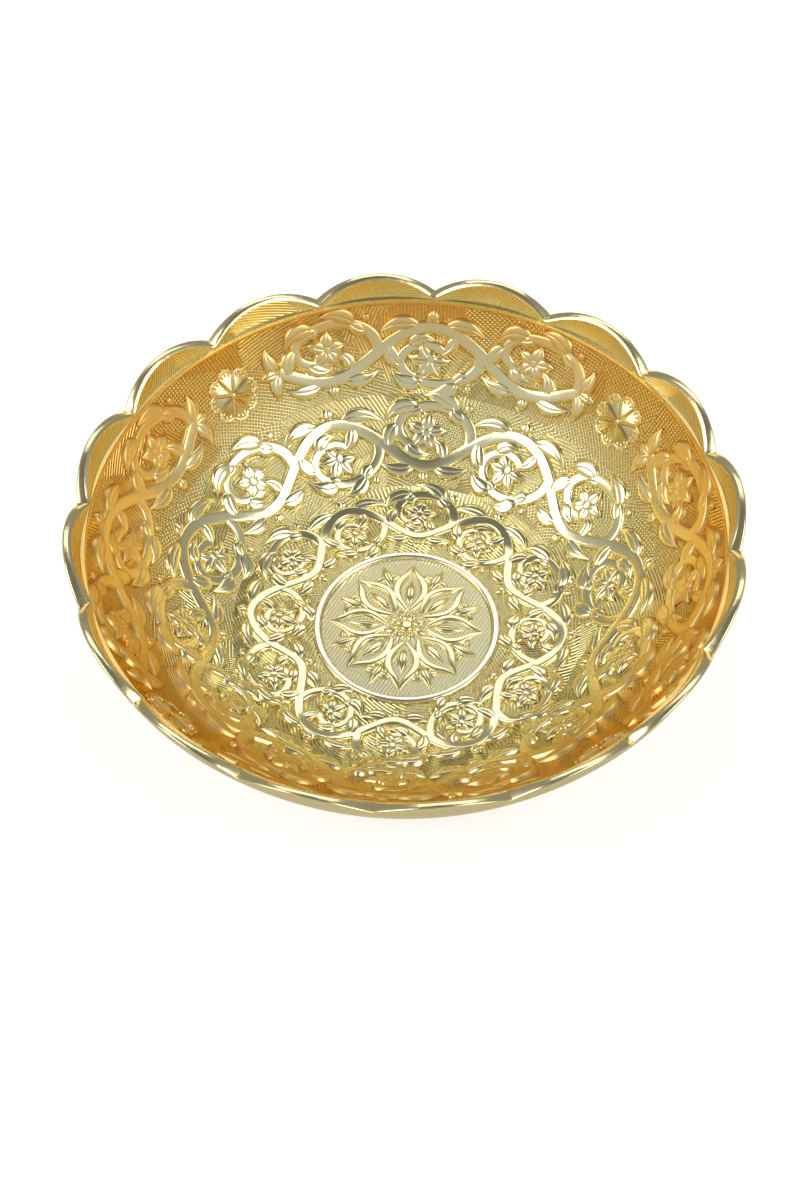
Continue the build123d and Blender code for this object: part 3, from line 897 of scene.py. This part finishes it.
# Flower in the medallion: eight pointed petals round a boss, with small leaves between
flowerSize = dict(
    petals=8, inner=4.6, tip=16.4, spread=5.4, line=0.95, foot=0.5, boss=1.6,
    lineShares=(0.5, 0.9, 1.0, 1.0, 0.8, 0.15),
    # in a petal, then between two petals: way out, lean, length, half width, curl
    petalLeaf=(6.2, 0, 6.4, 1.15, 0),
    gapLeaves=((11.2, 0, 6.2, 1.2, 0), (13.2, 38, 3.8, 0.85, 60), (13.2, -38, 3.8, 0.85, -60),
               (1.6, 0, 3.0, 0.95, 0)),
)


def turned(points, angle):
    c, s = math.cos(math.radians(angle)), math.sin(math.radians(angle))
    return [(x * c - y * s, x * s + y * c) for x, y in points]


def petalOutline(side):
    # one edge of a petal that points along X
    low, tip = flowerSize["inner"], flowerSize["tip"]
    half = side * flowerSize["spread"]
    outline = [(low, side * flowerSize["foot"]), (low + 1.8, 0.38 * half), (low + 4.6, 0.62 * half)]
    return outline + [(low + 7.6, 0.5 * half), (tip - 2.0, 0.16 * half), (tip + 0.4, 0)]


def flowerLeaf(angle, out, lean, length, width, curl):
    return drawLeaf(turned([(out, 0)], angle)[0], angle + lean, length, width, curl)


def makeFlower():
    strokes = []
    step = 360 / flowerSize["petals"]
    widths = [flowerSize["line"] * share for share in flowerSize["lineShares"]]
    for i in range(flowerSize["petals"]):
        angle = i * step
        for side in (1, -1):
            strokes.append(drawStroke(turned(petalOutline(side), angle), widths))
        strokes.append(flowerLeaf(angle, *flowerSize["petalLeaf"]))
        strokes += [flowerLeaf(angle + step / 2, *leaf) for leaf in flowerSize["gapLeaves"]]
    strokes.append(drawDot((0, 0), flowerSize["boss"]))
    piece = finishMotif("medallionFlower", strokes)
    points = readPoints(piece)
    points[:, 2] += floorLevel
    writePoints(piece, points)
    finishRelief(piece)


makeFlower()

# Rosettes on the wall: eight sunk petals between sharp ribs, in a lobed and toothed edge
rosetteSize = dict(
    radius=6.5, drop=11.3, petals=8, sunk=0.22, buried=0.3, turns=64, boss=0.8, bright=0.12,
    rib=0.5, ribReach=(0.2, 1.4, 2.8, 4.0, 5.1), ribShares=(0.7, 0.9, 1.0, 1.0, 0.8),
    # the edge of a petal: way out, and angle as a share of a petal
    edge=0.42, edgeShares=(0.7, 1, 1, 1, 1, 1, 0.7),
    edgeLine=((4.9, -0.5), (5.45, -0.36), (5.85, -0.18), (5.95, 0), (5.85, 0.18), (5.45, 0.36), (4.9, 0.5)),
    tooth=1.5, toothWidth=0.34, toothReach=5.85, toothDrop=1.2, toothPlaces=(-0.24, 0, 0.24),
    bead=0.46, beadReach=6.2,
)
rosetteNodes = dict(
    rosette_back_right=45, rosette_back_left=135, rosette_front_left=225, rosette_front_right=315,
)


def makeRosette():
    radius, sunk, buried = rosetteSize["radius"], rosetteSize["sunk"], rosetteSize["buried"]
    section = [(0, sunk), (radius * 0.85, sunk), (radius * 0.9, 0.0), (radius * 0.9, -buried), (0, -buried)]
    base = spinSection("rosetteBase", section, rosetteSize["turns"])
    ribs = [rosetteSize["rib"] * share for share in rosetteSize["ribShares"]]
    edges = [rosetteSize["edge"] * share for share in rosetteSize["edgeShares"]]
    strokes = []
    step = 360 / rosetteSize["petals"]
    for i in range(rosetteSize["petals"]):
        spoke = [(reach, 0) for reach in rosetteSize["ribReach"]]
        strokes.append(drawStroke(turned(spoke, (i + 0.5) * step), ribs, ridgeTool))
        lobe = [turned([(reach, 0)], (i + lean) * step)[0] for reach, lean in rosetteSize["edgeLine"]]
        strokes.append(drawStroke(lobe, edges))
        for lean in rosetteSize["toothPlaces"]:
            turn = (i + lean) * step
            out = rosetteSize["toothReach"] - rosetteSize["toothDrop"] * abs(lean)
            foot = turned([(out, 0)], turn)[0]
            strokes.append(drawLeaf(foot, turn + 180, rosetteSize["tooth"], rosetteSize["toothWidth"]))
            bead = turned([(rosetteSize["beadReach"] - abs(lean), 0)], turn)[0]
            strokes.append(drawDot(bead, rosetteSize["bead"]))
    strokes.append(drawDot((0, 0), rosetteSize["boss"]))
    lines = finishMotif("rosetteLines", strokes, sunk - 0.02)
    motif = joinPieces("rosetteMotif", [base, lines])
    # the petals sunk between the ribs take the darker olive gold, a painted shade
    ribFoot = sunk + rosetteSize["bright"]
    dressFaces(motif, [oliveShadeGilt, reliefGilt], lambda c, n: np.where(c[:, 2] > ribFoot, 1, 0))
    return motif


def placeRosettes():
    motif = makeRosette()
    reach, level, slope = (float(x) for x in onDish(seamRun - rosetteSize["drop"]))
    for node, angle in rosetteNodes.items():
        piece = copyOf(motif)
        u, v, h = readPoints(piece).T
        turn = math.radians(angle)
        out = reach + v * math.cos(slope) - h * math.sin(slope)
        up = level + v * math.sin(slope) + h * math.cos(slope)
        writePoints(piece, np.stack((out * math.cos(turn) + u * math.sin(turn),
                                     out * math.sin(turn) - u * math.cos(turn), up), 1))
        name = node.split("_")
        piece.name = piece.data.name = name[0] + name[1].title() + name[2].title()
        smooth(piece, 45)
        settle(piece, "satin_gold", node)
    discard(motif)


placeRosettes()
discard(stemTool, leafTool, ridgeTool)
print("stage rosettes done")

# Floor, surroundings, lamps and camera
stageLook = dict(
    floor=2.6, floorTone=0.82, floorGlow=0.54, glowRun=(0.35, 1.3),
    wallHigh=0.02, wallSoft=0.1, wallRun=(-0.1, 0.3),
    front=0.52, back=0.27, roomRun=(-0.3, 0.6), zenith=0.16, zenithRun=(0.66, 0.95),
)
lampLook = dict(
    softLeft=dict(place=(-0.8, -0.3, 0.9), size=(0.8, 0.8), power=4.6),
    softRight=dict(place=(0.8, -0.3, 0.9), size=(0.8, 0.8), power=4.6),
    softBack=dict(place=(0.0, 0.72, 0.86), size=(0.9, 0.45), power=1.5),
)
cameraLook = dict(
    lens=63.16, distance=432.9, elevation=53.306, azimuth=6.015, roll=-0.56, aimRight=-1.05, aimUp=-15.08,
)


def makeFloor():
    deselectAll()
    bpy.ops.mesh.primitive_circle_add(vertices=96, radius=stageLook["floor"], fill_type="NGON")
    floor = bpy.context.object
    floor.name = "floor"
    material, tree, shader = newMaterial("floorPaper")
    place = tree.nodes.new("ShaderNodeTexCoord").outputs["Object"]
    tone = stageLook["floorTone"]
    grain = addNoise(tree, place, 40.0)
    tree.links.new(addMix(tree, grain, (tone, tone, tone, 1), (tone + 0.01, tone + 0.01, tone + 0.01, 1)),
                   shader.inputs["Base Color"])
    shader.inputs["Roughness"].default_value = 0.9
    shader.inputs["Specular IOR Level"].default_value = 0.1
    # the paper stays white in the picture and in the metal, and still takes the bowl's shadow
    seen = tree.nodes.new("ShaderNodeLightPath").outputs
    straight = addMath(tree, "MAXIMUM", seen["Is Camera Ray"],
                       addMath(tree, "MAXIMUM", seen["Is Glossy Ray"], seen["Is Transmission Ray"]))
    shader.inputs["Emission Color"].default_value = (1, 1, 1, 1)
    # away from the lamps the paper glows more, so that it stays white out to its edge
    far = tree.nodes.new("ShaderNodeVectorMath")
    far.operation = "LENGTH"
    tree.links.new(place, far.inputs[0])
    glow = addRange(tree, far.outputs["Value"], *stageLook["glowRun"], stageLook["floorGlow"], 1.0)
    tree.links.new(addMath(tree, "MULTIPLY", straight, glow), shader.inputs["Emission Strength"])
    floor.data.materials.append(material)


def makeWorld():
    # a low white wall at the front, a room that is lighter there too, and a dim ceiling
    world = bpy.data.worlds.new("studio")
    bpy.context.scene.world = world
    world.use_nodes = True
    tree = world.node_tree
    sky = tree.nodes["Background"]
    way = tree.nodes.new("ShaderNodeTexCoord").outputs["Generated"]
    split = tree.nodes.new("ShaderNodeSeparateXYZ")
    tree.links.new(way, split.inputs[0])
    room = addRange(tree, split.outputs["Y"], *stageLook["roomRun"], stageLook["front"], stageLook["back"])
    top = addRange(tree, split.outputs["Z"], *stageLook["zenithRun"], 0.0, 1.0)
    tone = addMath(tree, "MULTIPLY_ADD", top, addMath(tree, "SUBTRACT", stageLook["zenith"], room), room)
    wallTop = stageLook["wallHigh"] + stageLook["wallSoft"]
    wall = addRange(tree, split.outputs["Z"], stageLook["wallHigh"], wallTop, 1.0, 0.0)
    near = addRange(tree, split.outputs["Y"], *stageLook["wallRun"], 1.0, 0.0)
    tone = addMath(tree, "MAXIMUM", tone, addMath(tree, "MULTIPLY", wall, near))
    seen = tree.nodes.new("ShaderNodeLightPath").outputs
    tree.links.new(addMath(tree, "MAXIMUM", tone, seen["Is Camera Ray"]), sky.inputs["Color"])
    sky.inputs["Strength"].default_value = 1.0


def makeLamps():
    for name, look in lampLook.items():
        bpy.ops.object.light_add(type="AREA", location=look["place"])
        lamp = bpy.context.object
        lamp.name = name
        lamp.data.shape = "RECTANGLE"
        lamp.data.size, lamp.data.size_y = look["size"]
        lamp.data.energy = look["power"]
        lamp.visible_camera = False
        toBowl = Vector((0, 0, notchLevel * mm)) - lamp.location
        lamp.rotation_euler = toBowl.to_track_quat("-Z", "Y").to_euler()


def makeCamera():
    azimuth, elevation, roll = (math.radians(cameraLook[k]) for k in ("azimuth", "elevation", "roll"))
    level = math.cos(elevation)
    back = Vector((math.sin(azimuth) * level, -math.cos(azimuth) * level, math.sin(elevation)))
    right = Vector((math.cos(azimuth), math.sin(azimuth), 0))
    up = back.cross(right)
    place = Vector((0, 0, notchLevel)) + right * cameraLook["aimRight"] + up * cameraLook["aimUp"]
    place += back * cameraLook["distance"]
    side = right * math.cos(roll) + up * math.sin(roll)
    top = up * math.cos(roll) - right * math.sin(roll)
    deselectAll()
    bpy.ops.object.camera_add()
    camera = bpy.context.object
    camera.matrix_world = Matrix.Translation(place * mm) @ Matrix((side, top, back)).transposed().to_4x4()
    camera.data.lens = cameraLook["lens"]
    camera.data.clip_start = 0.01
    bpy.context.scene.camera = camera


makeFloor()
makeWorld()
makeLamps()
makeCamera()
bpy.context.scene.view_settings.view_transform = "Standard"
print("stage studio done")
